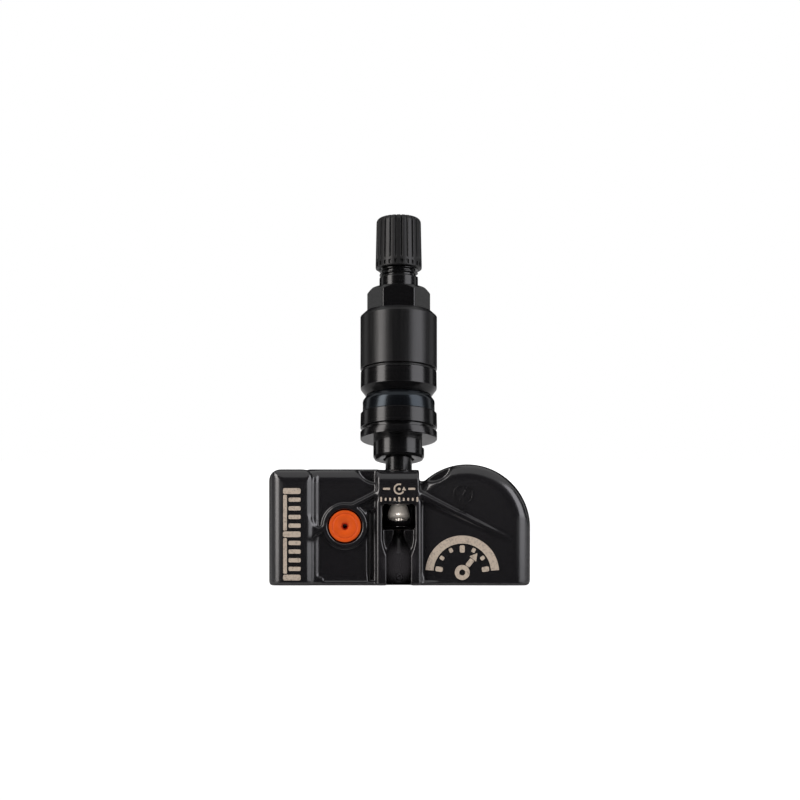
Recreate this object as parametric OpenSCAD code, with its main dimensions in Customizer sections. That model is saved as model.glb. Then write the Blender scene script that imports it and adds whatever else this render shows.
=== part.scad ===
// Tyre pressure sensor with a clamp-in valve that leans back and swivels on a bridge.
// The origin lies on the base plane, under the swivel axis. The front faces -Y.

/* [Housing] */
// Reach of the housing to the left of the valve
body_left = 25.8; // [24.5:0.1:27]
// Height of the left block and of the panel
body_h = 23.05; // [22.6:0.05:23.4]
// Distance from the valve's plane to the back rim
body_back = 8.5; // [8:0.1:10]
// Distance from the valve's plane to the face of the left block
block_front = 8.2; // [7.8:0.1:9]
// Width of the left block
block_w = 8.7; // [8:0.1:9.5]
// Distance from the valve's plane to the recessed panel
panel_front = 6.8; // [6.5:0.1:7.1]
// Radius of the rounded top edge of the block and the panel
top_round = 2.4; // [1.5:0.1:2.8]
// Radius of the block's upper corners in the front view
block_corner_r = 2.1; // [1:0.1:3]
// Radius of the block's outer upright edge
block_outer_r = 1.3; // [0.8:0.1:1.8]
// Radius of the block's inner upright edge
block_inner_r = 1.3; // [0.8:0.1:1.35]
// Radius along the bottom of the front
foot_round = 0.6; // [0.3:0.1:1]
// Height of the lip along the bottom of the panel
lip_h = 1.7; // [1:0.1:2.2]
// How far the lip stands out from the panel
lip_out = 0.35; // [0.2:0.05:0.6]
// Thickness of the outer walls
wall = 1.55; // [1.3:0.05:1.7]
// Thickness of the front wall behind the panel
front_wall = 1.6; // [1.4:0.1:1.8]
// Depth of the potting below the back rim
potting_recess = 0.8; // [0.4:0.1:1.2]

/* [Dome] */
// Radius of the round right half
dome_r = 12.5; // [12.3:0.1:13]
// Distance of the dome's circle from the valve's axis
dome_gap = 1.15; // [1:0.05:1.7]
// Distance from the valve's plane to the sloped face at the dome's centre
dome_front = 7.4; // [7.2:0.05:8]
// Slope of the dome's face, rising to the right
dome_slope = 5.5; // [3:0.5:7]
// Radius of the dome's front edge
dome_round = 2.7; // [2:0.1:3.2]
// Radius of the dome's lower right corner in the front view
dome_corner_r = 0.9; // [0.4:0.1:1.2]
// Depth of the saddle between the bridge and the dome, below the body's top
saddle_drop = 2.35; // [1.75:0.05:3.5]
// Radius of the two scoops beside the bridge
scoop_r = 4.1; // [3:0.1:4.3]

/* [Bridge and screw channel] */
// How far the bridge's top lies below the body's top
bridge_drop = 0.05; // [0:0.05:0.3]
// Radius of the bridge's rounded top about the swivel axis
bridge_r = 13.8; // [13.5:0.05:14.1]
// Thickness of the bridge, between the valve's foot and the screw's head
bridge_t = 6.85; // [6.5:0.05:7.2]
// Width of the bridge
bridge_w = 8.2; // [7.8:0.1:8.6]
// Distance from the valve's plane to the bridge's face
bridge_front = 8; // [7.5:0.1:8.4]
// Distance from the valve's plane to the strip on the bridge's left side
flank_front = 7.5; // [7:0.1:7.8]
// Width over the two rails beside the channel
rails_w = 9; // [8.8:0.1:9.6]
// Distance from the valve's plane to the rails' faces
rails_front = 7.8; // [7.4:0.1:8.2]
// Width of the channel in front of the screw
channel_w = 6.5; // [6.2:0.1:6.8]
// Width of the channel at the base
channel_foot_w = 4.8; // [4.4:0.1:5.2]
// Radius of the driver guide at its narrow neck
guide_neck_r = 1.1; // [0.9:0.1:1.4]
// Room under the screw's head, in which it swings
chamber_room = 1.95; // [1.8:0.05:2.3]
// Depth below the chamber's floor at which the channel starts to widen
channel_widen_drop = 5.3; // [4.8:0.1:6.2]
// Depth below the chamber's floor at which the channel has its full width
channel_full_drop = 2.3; // [1.8:0.1:3]
// Depth below the chamber's floor at which the driver guide's funnel starts
funnel_drop = 5; // [4.2:0.1:6]
// Depth below the chamber's floor at which the driver guide's funnel ends
funnel_top_drop = 1.6; // [1.3:0.1:2.5]
// Swivel of the valve to each side of its place at rest, degrees
swivel_range = 12; // [8:1:13]

/* [Ribs and port] */
// Distance of the pressure port to the left of the valve
port_x = 10.7; // [10:0.1:11.5]
// Height of the pressure port
port_z = 11.8; // [11:0.1:12.5]
// Radius of the orange plug
port_r = 3.2; // [2.8:0.1:3.5]
// Width of the dark gap around the plug
port_gap = 0.25; // [0.15:0.05:0.35]
// Radius of the pinhole in the plug's face
pinhole_r = 0.75; // [0.5:0.05:0.9]
// Radius of the boss around the port
boss_r = 4.5; // [4.2:0.1:4.8]
// Distance from the valve's plane to the boss's face
boss_front = 7.6; // [7.3:0.1:7.9]
// Depth below the body's top at which the ribs leave the bridge
rib_root_drop = 4.55; // [4.05:0.05:5.5]
// Fall of the two ribs, degrees
rib_fall = 27; // [24:1:29]
// Distance from the valve's plane to the ribs' crests at the bridge
rib_front = 7.75; // [7.6:0.05:8.2]
// Rise of the right rib's crest, which follows the dome's face, degrees
rib_rise = 1.5; // [0:0.1:2]
// Width of a rib's crest
rib_crest_w = 0.7; // [0.4:0.1:1]
// Length of the right rib
long_rib_l = 20; // [17:0.5:21]
// Height of the short rib where it meets the left block
short_rib_z = 10.9; // [10:0.1:12]
// Radius of the fillets between the short rib and the left block
flare_r = 1.2; // [0.8:0.1:1.6]

/* [Valve] */
// Lean of the valve away from the front at rest, degrees
valve_lean = 13; // [10:1:15]
// Radius of the thin neck on the bridge
foot_r = 2.65; // [2.5:0.05:2.9]
// Length of the thin neck
foot_l = 2.45; // [2.2:0.05:3]
// Radius of the thick neck
neck_r = 5.06; // [4.8:0.02:5.2]
// Length of the thick neck
neck_l = 4.05; // [3.6:0.05:4.6]
// Radius of the flange
flange_r = 7.65; // [7.3:0.05:8]
// Thickness of the flange's lower disc
flange_low_t = 1.55; // [1.2:0.05:2]
// Width of the groove round the flange
flange_groove_w = 0.7; // [0.4:0.05:1]
// Depth of the groove round the flange
flange_groove_d = 0.25; // [0.15:0.05:0.5]
// Thickness of the flange's upper disc
flange_high_t = 3.15; // [2.6:0.05:3.6]
// Radius of the stem inside the grommet
stem_r = 4.3; // [4.1:0.05:4.5]
// Outer radius of the valve thread
thread_r = 3.85; // [3.8:0.01:3.9]
// Length of bare thread between the nut and the cap
free_thread_l = 4.15; // [3.9:0.05:5]
// Length of thread inside the cap
capped_thread_l = 8.2; // [7.5:0.1:8.6]
// Radius of the air bore
air_bore_r = 1.2; // [0.9:0.05:1.4]

/* [Grommet, ring and nut] */
// How far the grommet's flange lies inside the stem's flange
grommet_inset = 0.45; // [0.25:0.05:0.65]
// Height of the grommet's flange
grommet_h = 3.5; // [3:0.1:4]
// Radius of the grommet's neck, which fits the wheel's valve hole
grommet_neck_r = 5.65; // [5.6:0.01:5.7]
// Length of the grommet's neck
grommet_neck_l = 3.9; // [3:0.1:4]
// How far the clamp ring lies inside the stem's flange
ring_inset = 0.05; // [0:0.05:0.25]
// Height of the clamp ring
ring_h = 5; // [4.8:0.1:5.6]
// Height of the clamp ring's tapered lower edge
ring_taper_h = 1.45; // [1:0.05:1.8]
// Length of the nut's collar
collar_l = 10.95; // [10:0.05:12]
// Height of the collar's conical shoulder
shoulder_h = 0.95; // [0.6:0.05:1.2]
// Width of the hexagon across its flats
hex_af = 11.05; // [10.8:0.05:11.3]
// Height of the hexagon
hex_h = 4.6; // [4:0.1:5.2]
// Gap shown between the clamp ring and the nut
nut_gap = 0.35; // [0.2:0.05:0.5]

/* [Cap] */
// Length of the cap
cap_l = 10.7; // [10.5:0.1:12]
// Radius of the cap at its open end
cap_r = 4.62; // [4.5:0.02:4.8]
// Radius of the cap at its top
cap_top_r = 4.45; // [4.3:0.01:4.5]
// Height of the cap's domed top
cap_dome_h = 1.2; // [0.8:0.1:1.6]
// Number of flutes around the cap
flutes = 24; // [18:1:28]
// Depth of a flute
flute_d = 0.3; // [0.15:0.05:0.35]
// Height of the plain band at the open end
cap_band_h = 1.5; // [1:0.1:2]

/* [Valve core] */
// Radius of the core's thread
core_r = 2.55; // [2.5:0.01:2.6]
// Length of the core's threaded body
core_body_l = 5; // [4.5:0.1:5.5]
// Length of the core's lower sleeve
core_sleeve_l = 1.9; // [1.6:0.1:2.2]
// Radius of the core's pin
pin_r = 0.55; // [0.5:0.05:0.6]
// Travel of the core's pin
pin_travel = 1.2; // [1:0.1:1.3]
// Diameter of the core spring's wire
spring_wire = 0.3; // [0.25:0.01:0.32]
// Number of turns of the core spring
spring_turns = 4; // [3:1:4]

/* [Screw] */
// Radius of the screw's shank
screw_r = 1.5; // [1.45:0.01:1.5]
// Radius of the screw's head
screw_head_r = 2.35; // [2.2:0.05:2.5]
// Height of the screw's head
screw_head_h = 2.95; // [2.6:0.05:3]
// Radius of the six-lobed socket
socket_r = 1.2; // [1:0.05:1.3]
// Depth of the socket
socket_depth = 1.5; // [1.2:0.1:1.8]

/* [Electronics] */
// Room between the battery cell and the dome's wall
cell_room = 0.95; // [0.95:0.05:1.4]
// Thickness of the battery cell
cell_t = 5; // [3.2:0.1:5.2]
// Thickness of the circuit board
board_t = 1; // [0.8:0.1:1.2]
// Thickness of the sensor chip
chip_t = 2; // [1.5:0.1:2.1]
// Width of the sensor chip
chip_w = 7; // [6:0.5:8]
// Length, depth and height of the antenna coil
coil_l = 8; // [6:0.5:9]
coil_t = 2.8; // [2:0.1:3]
coil_h = 3; // [2:0.1:4]
// Thickness of the battery tabs
tab_t = 0.2; // [0.15:0.05:0.3]
// Width of the battery tabs
tab_w = 2; // [1.5:0.1:2.4]

/* [Hidden] */
$fn = 96;

// Running gap between parts that turn or swivel on each other
run_gap = 0.05;
// Gap between parts that are screwed or glued together
fit_gap = 0.02;
// Length by which a cutter passes the face that it opens
over = 1;

// Stations along the valve, measured from the swivel axis
neck_s = bridge_r + foot_l;
flange_s = neck_s + neck_l;
groove_s = flange_s + flange_low_t;
disc_s = groove_s + flange_groove_w;
grommet_s = disc_s + flange_high_t;
ring_s = grommet_s + grommet_h;
nut_s = ring_s + ring_h;
collar_s = nut_s + nut_gap;
shoulder_s = collar_s + collar_l;
hex_s = shoulder_s + shoulder_h;
cap_s = hex_s + hex_h + free_thread_l;
stem_top_s = cap_s + capped_thread_l;
cap_top_s = cap_s + cap_l;

// Radii that follow the stem's flange
grommet_r = flange_r - grommet_inset;
ring_r = flange_r - ring_inset;
collar_r = flange_r;
grommet_chamfer = 0.42 * (grommet_r - grommet_neck_r);

// Underside of the bridge, where the screw's head bears
swivel_z = body_h - bridge_drop - bridge_r;
chamber_r = bridge_r - bridge_t;
head_top_s = chamber_r - run_gap;
head_s = head_top_s - screw_head_h;
screw_tip_inset = 1.6;
screw_tip_s = flange_s - screw_tip_inset;
bridge_face_z = swivel_z + chamber_r + run_gap;

// Heights in the screw channel, counted down from the chamber's floor
chamber_z = swivel_z + head_s - chamber_room;
channel_widen_z = chamber_z - channel_widen_drop;
channel_full_z = chamber_z - channel_full_drop;
funnel_z = chamber_z - funnel_drop;
funnel_top_z = chamber_z - funnel_top_drop;

// Valve core stations
core_top_s = stem_top_s - 0.4;
core_ledge_s = core_top_s - core_body_l;
core_end_s = core_ledge_s - core_sleeve_l;
cup_t = 0.8;
seal_t = 0.8;
spring_seat_s = core_top_s - 3.6;
pin_head_s = core_top_s - 0.5;
pin_head_t = 0.5;
pin_tail = 0.5;
pin_proud = 0.25;
core_bore_r = core_r + 0.05;
seat_bore_r = core_r - 0.35;
sleeve_r = seat_bore_r - 0.2;

// Housing places
block_right = -body_left + block_w;
cell_r = dome_r - wall - cell_room;
dome_x = dome_gap + dome_r;
dome_z = wall + cell_r;
saddle_h = body_h - saddle_drop;
rib_root_z = body_h - rib_root_drop;
cavity_front = panel_front - front_wall;
channel_wall = 1.2;
cavity_x = channel_w / 2 + channel_wall;
passage_front = channel_foot_w / 2 + wall;
passage_top = chamber_z - wall;
port_floor = boss_front - 1.4;
port_recess = 0.25;
port_shank_r = port_r - 0.4;
pin_bore_r = 0.45;
membrane_r = 1.7;
membrane_t = 0.3;
scoop_floor = 5;
scoop_wall = 1.2;
left_scoop = [-bridge_w / 2 - 0.3, body_h + 1.25];
right_scoop = [bridge_w / 2 + 2.5, body_h + 1.55];
potting_back = body_back - potting_recess;

// Electronics places: the plug reaches into the cavity as far as the sensor chip
port_reach = 1.6;
plug_end = cavity_front - port_reach;
board_front = plug_end - chip_t;
board_back = -board_front + board_t;
board_gap = 0.4;
coil_base_t = 0.6;
coil_end_w = 1;
coil_step = 0.2;
coil_z = body_h - wall - coil_h - 2.2;
crystal_size = [3.2, 0.9, 2.5];
capacitor_size = [3.5, 1.9, 2.8];
parts_run = coil_z - wall - board_gap;
crystal_z = wall + board_gap + 0.21 * parts_run;
capacitor_z = wall + board_gap + 0.56 * parts_run;
cell_x = dome_x + cell_room - 0.1;
cell_front = cavity_front - tab_t - 0.1;
tab_run_y = passage_front + 1;
tab_room = (passage_top - wall - 2 * tab_w) / 3;

// Points along an arc in a flat view
function arc(cx, cy, r, from, to, steps = 8) =
    [for (i = [0:steps]) let (a = from + (to - from) * i / steps) [cx + r * cos(a), cy + r * sin(a)]];

// Extrudes a front view, drawn in X and Z, between two distances in front of the valve's plane
module front_view(front, back) {
    translate([0, back, 0]) rotate([90, 0, 0]) linear_extrude(back + front) children();
}

// Extrudes a side view, drawn in Y and Z, from x0 to x1
module side_view(x0, x1) {
    translate([x0, 0, 0]) rotate([90, 0, 90]) linear_extrude(x1 - x0) children();
}

// Places a child along the valve: its Z runs up the valve from the swivel axis
module along_valve() {
    translate([0, 0, swivel_z]) rotate([-valve_lean, 0, 0]) children();
}

// Cylinder about the swivel axis
module about_swivel(r, w) {
    translate([-w / 2, 0, swivel_z]) rotate([0, 90, 0]) cylinder(r = r, h = w);
}

// Side view of a moulded wall: flat back, rounded upper and lower front edges
module wall_section(front, h) {
    polygon(concat(
        [[body_back, 0]],
        arc(-front + foot_round, foot_round, foot_round, 270, 180, 4),
        arc(-front + top_round, h - top_round, top_round, 180, 90),
        arc(body_back - 1, h - 1, 1, 90, 0, 4)));
}

module left_block() {
    intersection() {
        side_view(-body_left, block_right) wall_section(block_front, body_h);
        linear_extrude(body_h) polygon(concat(
            [[-body_left, body_back]],
            arc(-body_left + block_outer_r, -block_front + block_outer_r, block_outer_r, 180, 270),
            arc(block_right - block_inner_r, -block_front + block_inner_r, block_inner_r, 270, 360),
            [[block_right, body_back]]));
        front_view(block_front, body_back) polygon(concat(
            [[block_right, 0]],
            arc(block_right - block_corner_r, body_h - block_corner_r, block_corner_r, 0, 90),
            arc(-body_left + block_corner_r, body_h - block_corner_r, block_corner_r, 90, 180),
            arc(-body_left + foot_round, foot_round, foot_round, 180, 270, 4)));
    }
}

// Straight wall of the dome and of the saddle beside the bridge, as seen from the front
module dome_outline() {
    intersection() {
        translate([dome_x, dome_z]) circle(r = dome_r);
        translate([0, dome_z]) square([2 * dome_x, 2 * dome_r]);
    }
    translate([bridge_w / 2 - 0.3, 0]) square([dome_x - bridge_w / 2 + 0.3, saddle_h]);
    polygon(concat(
        [[0, dome_z], [0, 0]],
        arc(dome_x + dome_r - dome_corner_r, dome_corner_r, dome_corner_r, 270, 360, 6),
        [[dome_x + dome_r, dome_z]]));
}

// Face of the dome: flat and sloped, with a rounded edge that turns down into the straight sides
module dome_face() {
    pivot = dome_front - dome_round;
    reach = dome_r + 0.02;
    back = -2 * dome_r;
    edge = arc(reach - dome_round, 0, dome_round, 0, 90);
    translate([dome_x, -pivot, dome_z]) rotate([0, 0, -dome_slope]) {
        rotate([90, 0, 0]) rotate_extrude(angle = 180)
            polygon(concat([[0, back], [reach, back]], edge, [[0, dome_round]]));
        translate([0, 0, -dome_z]) linear_extrude(dome_z) polygon(concat(
            [for (p = edge) [p[0], -p[1]]],
            [[-reach, -dome_round], [-reach, -back], [reach, -back]]));
    }
}

module dome() {
    front_view(0, body_back) dome_outline();
    intersection() {
        front_view(dome_front + dome_round, 0.5) dome_outline();
        dome_face();
    }
}

// Bar with a flat crest that falls away from the bridge on the left or right side
module rib(length, low_run) {
    rotate([0, rib_fall, 0]) side_view(-1.5, length) polygon([
        [-cavity_front - 0.2, 0.75],
        [-rib_front, 0.35],
        [-rib_front, 0.35 - rib_crest_w],
        [-cavity_front - 0.2, 0.35 - rib_crest_w - low_run]]);
}

module ribs() {
    root = rails_w / 2 - 0.6;
    translate([root, 0, rib_root_z]) rotate([0, 0, -rib_rise]) rib(long_rib_l, 1.8);
    mirror([1, 0, 0]) translate([root, 0, rib_root_z]) rib(port_x - root - 0.5, 0.7);
    short_rib();
}

// Rib between the left block and the boss, with fillets at the block
module short_rib() {
    half = 0.6;
    tan_fall = tan(rib_fall);
    run = -port_x - 3.8 - block_right;
    front_view(boss_front, -cavity_front) polygon(concat(
        [[block_right - 0.5, short_rib_z + half + flare_r]],
        arc(block_right + flare_r, short_rib_z + half + flare_r, flare_r, 180, 270, 5),
        [[block_right + run, short_rib_z + half + (run - flare_r) * tan_fall],
        [block_right + run, short_rib_z - half + (run - flare_r) * tan_fall]],
        arc(block_right + flare_r, short_rib_z - half - flare_r, flare_r, 90, 180, 5),
        [[block_right - 0.5, short_rib_z - half - flare_r]]));
}

// Channel in front of the screw, the driver guide behind it, and the chamber of the screw's head
module screw_channel() {
    half = channel_w / 2;
    foot_half = channel_foot_w / 2;
    shoulder = [half - 0.25, channel_full_z - 1.3];
    front_view(block_front + over, 0) polygon([
        [-foot_half, -over], [foot_half, -over], [foot_half, channel_widen_z], shoulder,
        [half, channel_full_z], [half, chamber_z + over], [-half, chamber_z + over],
        [-half, channel_full_z], [-shoulder[0], shoulder[1]], [-foot_half, channel_widen_z]]);
    front_view(block_front + over, -2) translate([-half, chamber_z])
        square([channel_w, bridge_face_z - chamber_z]);
    rotate_extrude() polygon([
        [0, -over], [foot_half, -over], [foot_half, funnel_z], [guide_neck_r, funnel_top_z],
        [guide_neck_r, chamber_z + over], [0, chamber_z + over]]);
    intersection() {
        about_swivel(chamber_r, channel_w);
        translate([-half, -bridge_front, chamber_z]) cube([channel_w, bridge_front + body_back, bridge_r]);
    }
}

// Slot through the bridge in which the screw swings
module bridge_slot() {
    half = screw_r + 0.1;
    front = valve_lean - swivel_range - 1;
    back = valve_lean + swivel_range + 1;
    low = chamber_r - over;
    high = bridge_r + over;
    translate([0, 0, swivel_z]) side_view(-half, half) polygon([
        [low * sin(front) - half * cos(front), low * cos(front) + half * sin(front)],
        [high * sin(front) - half * cos(front), high * cos(front) + half * sin(front)],
        [high * sin(back) + half * cos(back), high * cos(back) - half * sin(back)],
        [low * sin(back) + half * cos(back), low * cos(back) - half * sin(back)]]);
}

// Space behind the front wall, which the electronics and the potting fill
module cavity(back) {
    left = body_left - wall;
    roof = body_h - wall;
    scoop_back = scoop_floor - scoop_wall;
    difference() {
        translate([-left, -cavity_front, wall])
            cube([left - cavity_x, cavity_front + back, roof - wall]);
        front_view(cavity_front + over, -scoop_back) translate(left_scoop) circle(r = scoop_r + scoop_wall);
    }
    difference() {
        right_cavity(back);
        front_view(cavity_front + over, -scoop_back) translate(right_scoop) circle(r = scoop_r + scoop_wall);
    }
    translate([-cavity_x - 0.5, passage_front, wall])
        cube([2 * cavity_x + 1, back - passage_front, passage_top - wall]);
}

// Space inside the dome
module right_cavity(back) {
    front_view(cavity_front, back) {
        intersection() {
            translate([dome_x, dome_z]) circle(r = dome_r - wall);
            translate([cavity_x, dome_z]) square([2 * dome_r, dome_r]);
        }
        translate([cavity_x, wall]) square([dome_x + dome_r - wall - cavity_x, dome_z - wall]);
    }
}

module port_hole() {
    translate([-port_x, 0, port_z]) rotate([90, 0, 0]) {
        translate([0, 0, port_floor]) cylinder(r = port_r + port_gap, h = block_front);
        cylinder(r = port_shank_r + fit_gap, h = block_front);
    }
}

// Outer walls on both sides of the bridge, with a scoop out of each beside the bridge
module side_walls() {
    difference() {
        union() {
            left_block();
            side_view(block_right - 1, -bridge_w / 2 + 0.3) wall_section(panel_front, body_h);
            side_view(block_right - 0.5, block_right + 0.9)
                wall_section(panel_front + 0.4, body_h - 0.1);
            side_view(block_right - 0.5, dome_x) polygon([
                [0, 0], [-panel_front - lip_out + 0.3, 0], [-panel_front - lip_out, 0.3],
                [-panel_front - lip_out, lip_h - 0.3], [-panel_front + 0.1, lip_h + 0.2],
                [0, lip_h + 0.2]]);
            dome();
        }
        for (place = [left_scoop, right_scoop])
            front_view(block_front + over, -scoop_floor) translate(place) circle(r = scoop_r);
    }
}

// Bridge over the screw, the strip on its left side and the two rails below it
module bridge() {
    intersection() {
        about_swivel(bridge_r, bridge_w);
        translate([-bridge_w / 2, -bridge_front, 0])
            cube([bridge_w, bridge_front + body_back, swivel_z + bridge_r]);
    }
    side_view(-rails_w / 2, -bridge_w / 2 + 0.2) wall_section(flank_front, body_h - 0.05);
    translate([-rails_w / 2, -rails_front, 0])
        cube([rails_w, rails_front + body_back, bridge_face_z + 0.6]);
}

module housing() {
    valley = panel_front - 0.8;
    color("#222326") difference() {
        union() {
            side_walls();
            bridge();
            translate([-port_x, 0, port_z]) rotate([90, 0, 0]) cylinder(r = boss_r, h = boss_front);
            ribs();
        }
        translate([0, 0, lip_h + 0.2]) linear_extrude(bridge_face_z - lip_h - 1.4) polygon([
            [-rails_w / 2 - 1.8, -panel_front - 0.01], [-rails_w / 2 - 1.4, -valley],
            [-rails_w / 2, -valley], [-rails_w / 2, -panel_front - 0.01]]);
        screw_channel();
        bridge_slot();
        cavity(body_back + over);
        port_hole();
    }
}

// Outside of the orange plug: a head in the boss and a shank down to the sensor chip
module port_plug() {
    translate([0, 0, port_floor]) cylinder(r = port_r, h = boss_front - port_floor - port_recess);
    translate([0, 0, plug_end]) cylinder(r = port_shank_r, h = port_floor - plug_end);
}

module port_insert() {
    color("#f05a14") translate([-port_x, 0, port_z]) rotate([90, 0, 0]) difference() {
        port_plug();
        translate([0, 0, port_floor]) cylinder(r = pinhole_r, h = block_front);
        cylinder(r = pin_bore_r, h = block_front);
        cylinder(r = membrane_r + run_gap, h = plug_end + membrane_t);
    }
}

module port_membrane() {
    color("white") translate([-port_x, 0, port_z]) rotate([90, 0, 0])
        translate([0, 0, plug_end]) cylinder(r = membrane_r, h = membrane_t);
}

module circuit_board() {
    color("#1d5a35") translate([-body_left + wall + board_gap, -board_front, wall + board_gap])
        cube([body_left - wall - cavity_x - 2 * board_gap, board_t, body_h - 2 * (wall + board_gap)]);
}

module sensor_chip() {
    color("#303236") translate([-port_x - chip_w / 2, -board_front - chip_t, port_z - chip_w / 2])
        cube([chip_w, chip_t, chip_w]);
}

// Winding between two end blocks, on a base
module antenna_coil() {
    color("#7a4a2a") translate([-body_left + wall + 2, board_back, coil_z]) {
        cube([coil_l, coil_base_t, coil_h]);
        translate([coil_end_w, coil_base_t, coil_step])
            cube([coil_l - 2 * coil_end_w, coil_t - coil_base_t - coil_step, coil_h - 2 * coil_step]);
        for (x = [0, coil_l - coil_end_w])
            translate([x, coil_base_t, 0]) cube([coil_end_w, coil_t - coil_base_t, coil_h]);
    }
}

module crystal() {
    color("silver") translate([-body_left + wall + 3, board_back, crystal_z]) cube(crystal_size);
}

module capacitor() {
    color("#c8a050") translate([-body_left + wall + 3, board_back, capacitor_z]) cube(capacitor_size);
}

module battery_cell() {
    color("silver") translate([cell_x, -cell_front, dome_z]) rotate([-90, 0, 0]) {
        cylinder(r = cell_r - 0.9, h = cell_t);
        translate([0, 0, 0.3]) cylinder(r = cell_r, h = cell_t - 0.3);
    }
}

// Flat strip that follows straight runs in the top view, from z upwards
module strip(points, z) {
    for (i = [0:len(points) - 2])
        translate([min(points[i][0], points[i + 1][0]), min(points[i][1], points[i + 1][1]), z])
            cube([abs(points[i][0] - points[i + 1][0]) + tab_t,
                abs(points[i][1] - points[i + 1][1]) + tab_t, tab_w]);
}

module battery_tab_plus() {
    leg_x = cavity_x + 0.3;
    can_y = -cell_front + cell_t;
    color("gainsboro") strip([[cell_x, can_y], [leg_x, can_y], [leg_x, tab_run_y],
        [-cavity_x - 2, tab_run_y], [-cavity_x - 2, board_back], [-cavity_x - 3.5, board_back]],
        passage_top - tab_room - tab_w);
}

module battery_tab_minus() {
    leg_x = cavity_x + 0.3;
    cup_y = -cell_front - tab_t;
    color("gainsboro") strip([[cell_x, cup_y], [leg_x, cup_y], [leg_x, tab_run_y + 0.8],
        [-cavity_x - 3, tab_run_y + 0.8], [-cavity_x - 3, board_back], [-cavity_x - 4.5, board_back]],
        wall + tab_room);
}

module potting() {
    color("#3a3d42") difference() {
        cavity(potting_back);
        translate([-port_x, 0, port_z]) rotate([90, 0, 0]) port_plug();
        circuit_board();
        sensor_chip();
        antenna_coil();
        crystal();
        capacitor();
        battery_cell();
        battery_tab_plus();
        battery_tab_minus();
    }
}

// Six-lobed driver socket, as a flat outline
module lobed_outline() {
    circle(r = socket_r * 0.82);
    for (a = [0:60:300]) rotate(a) translate([socket_r * 0.72, 0]) circle(r = socket_r * 0.28);
}

module retaining_screw() {
    neck_s = sqrt(head_top_s * head_top_s - screw_r * screw_r);
    color("#c9c7c4") along_valve() difference() {
        rotate_extrude() polygon(concat(
            [[0, head_s], [screw_head_r - 0.7, head_s]],
            arc(screw_head_r - 0.9, head_s + 0.9, 0.9, -77, 0, 6),
            [[screw_head_r, head_s + 1.3], [screw_head_r - 0.4, head_top_s - 0.3],
            [screw_r, neck_s], [screw_r, screw_tip_s - 0.3], [screw_r - 0.3, screw_tip_s],
            [0, screw_tip_s]]));
        translate([0, 0, head_s - over]) linear_extrude(socket_depth + over) lobed_outline();
    }
}

module valve_stem() {
    relief_r = foot_r + 0.45;
    relief_d = 0.5;
    tap_r = screw_r + fit_gap;
    color("#26262a") difference() {
        along_valve() difference() {
            rotate_extrude() polygon([
                [tap_r, bridge_r - 1], [foot_r, bridge_r - 1], [foot_r, neck_s + relief_d],
                [relief_r, neck_s + relief_d], [relief_r, neck_s], [neck_r - 0.5, neck_s],
                [neck_r, neck_s + 0.8], [neck_r, flange_s], [flange_r - 0.1, flange_s],
                [flange_r, flange_s + 0.1], [flange_r, groove_s - 0.1], [flange_r - 0.1, groove_s],
                [flange_r - flange_groove_d, groove_s], [flange_r - flange_groove_d, disc_s],
                [flange_r - 0.1, disc_s], [flange_r, disc_s + 0.1], [flange_r - 0.05, grommet_s - 0.2],
                [flange_r - 0.25, grommet_s], [stem_r, grommet_s], [stem_r, ring_s + grommet_neck_l],
                [thread_r, ring_s + grommet_neck_l + 0.4], [thread_r, stem_top_s - 0.5],
                [thread_r - 0.5, stem_top_s], [core_bore_r, stem_top_s],
                [core_bore_r, core_ledge_s - seal_t], [seat_bore_r, core_ledge_s - seal_t],
                [seat_bore_r, core_end_s - cup_t - pin_travel - 0.6],
                [air_bore_r, core_end_s - cup_t - pin_travel - 1.4],
                [air_bore_r, screw_tip_s + 0.8], [tap_r, screw_tip_s + 0.4]]);
            translate([neck_r - 0.38, -neck_r, neck_s + 1.3])
                cube([over, 2 * neck_r, flange_s - neck_s - 1.3]);
            translate([0, 0, flange_s - 0.75]) rotate([0, 90, 0]) cylinder(r = 0.55, h = 2 * neck_r);
        }
        about_swivel(bridge_r + run_gap, 4 * foot_r);
    }
}

module grommet() {
    color("#1c1f24") along_valve() rotate_extrude() polygon([
        [stem_r + fit_gap, grommet_s], [grommet_r, grommet_s], [grommet_r, ring_s - 1.1],
        [grommet_r - grommet_chamfer, ring_s], [grommet_neck_r, ring_s],
        [grommet_neck_r, ring_s + grommet_neck_l], [stem_r + fit_gap, ring_s + grommet_neck_l]]);
}

module clamp_ring() {
    web_s = ring_s + grommet_neck_l + 0.1;
    color("#232326") along_valve() rotate_extrude() polygon([
        [grommet_neck_r + 0.1, ring_s], [grommet_r - grommet_chamfer, ring_s],
        [ring_r - 0.1, ring_s + ring_taper_h - 0.15], [ring_r, ring_s + ring_taper_h],
        [ring_r - 0.03, nut_s - 0.15], [ring_r - 0.15, nut_s],
        [thread_r + 0.6, nut_s], [thread_r + 0.6, web_s], [grommet_neck_r + 0.1, web_s]]);
}

module union_nut() {
    corner_r = hex_af / sqrt(3);
    top_s = hex_s + hex_h;
    bore_r = thread_r + run_gap;
    color("#29282c") along_valve() {
        rotate_extrude() polygon([
            [bore_r, nut_s], [collar_r - 0.75, nut_s], [collar_r - 0.75, collar_s],
            [collar_r - 0.1, collar_s], [collar_r, collar_s + 0.1], [collar_r, shoulder_s - 0.1],
            [collar_r - 0.08, shoulder_s], [collar_r - 1.1, hex_s], [bore_r, hex_s]]);
        intersection() {
            difference() {
                translate([0, 0, hex_s - 0.3]) cylinder(r = corner_r, h = hex_h + 0.3, $fn = 6);
                translate([0, 0, hex_s - over]) cylinder(r = bore_r, h = hex_h + 2 * over);
            }
            rotate_extrude() polygon([
                [0, hex_s - 0.3], [corner_r - 0.08, hex_s - 0.3], [corner_r - 0.08, top_s - 0.95],
                [hex_af / 2 - 0.05, top_s], [0, top_s]]);
        }
    }
}

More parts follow.
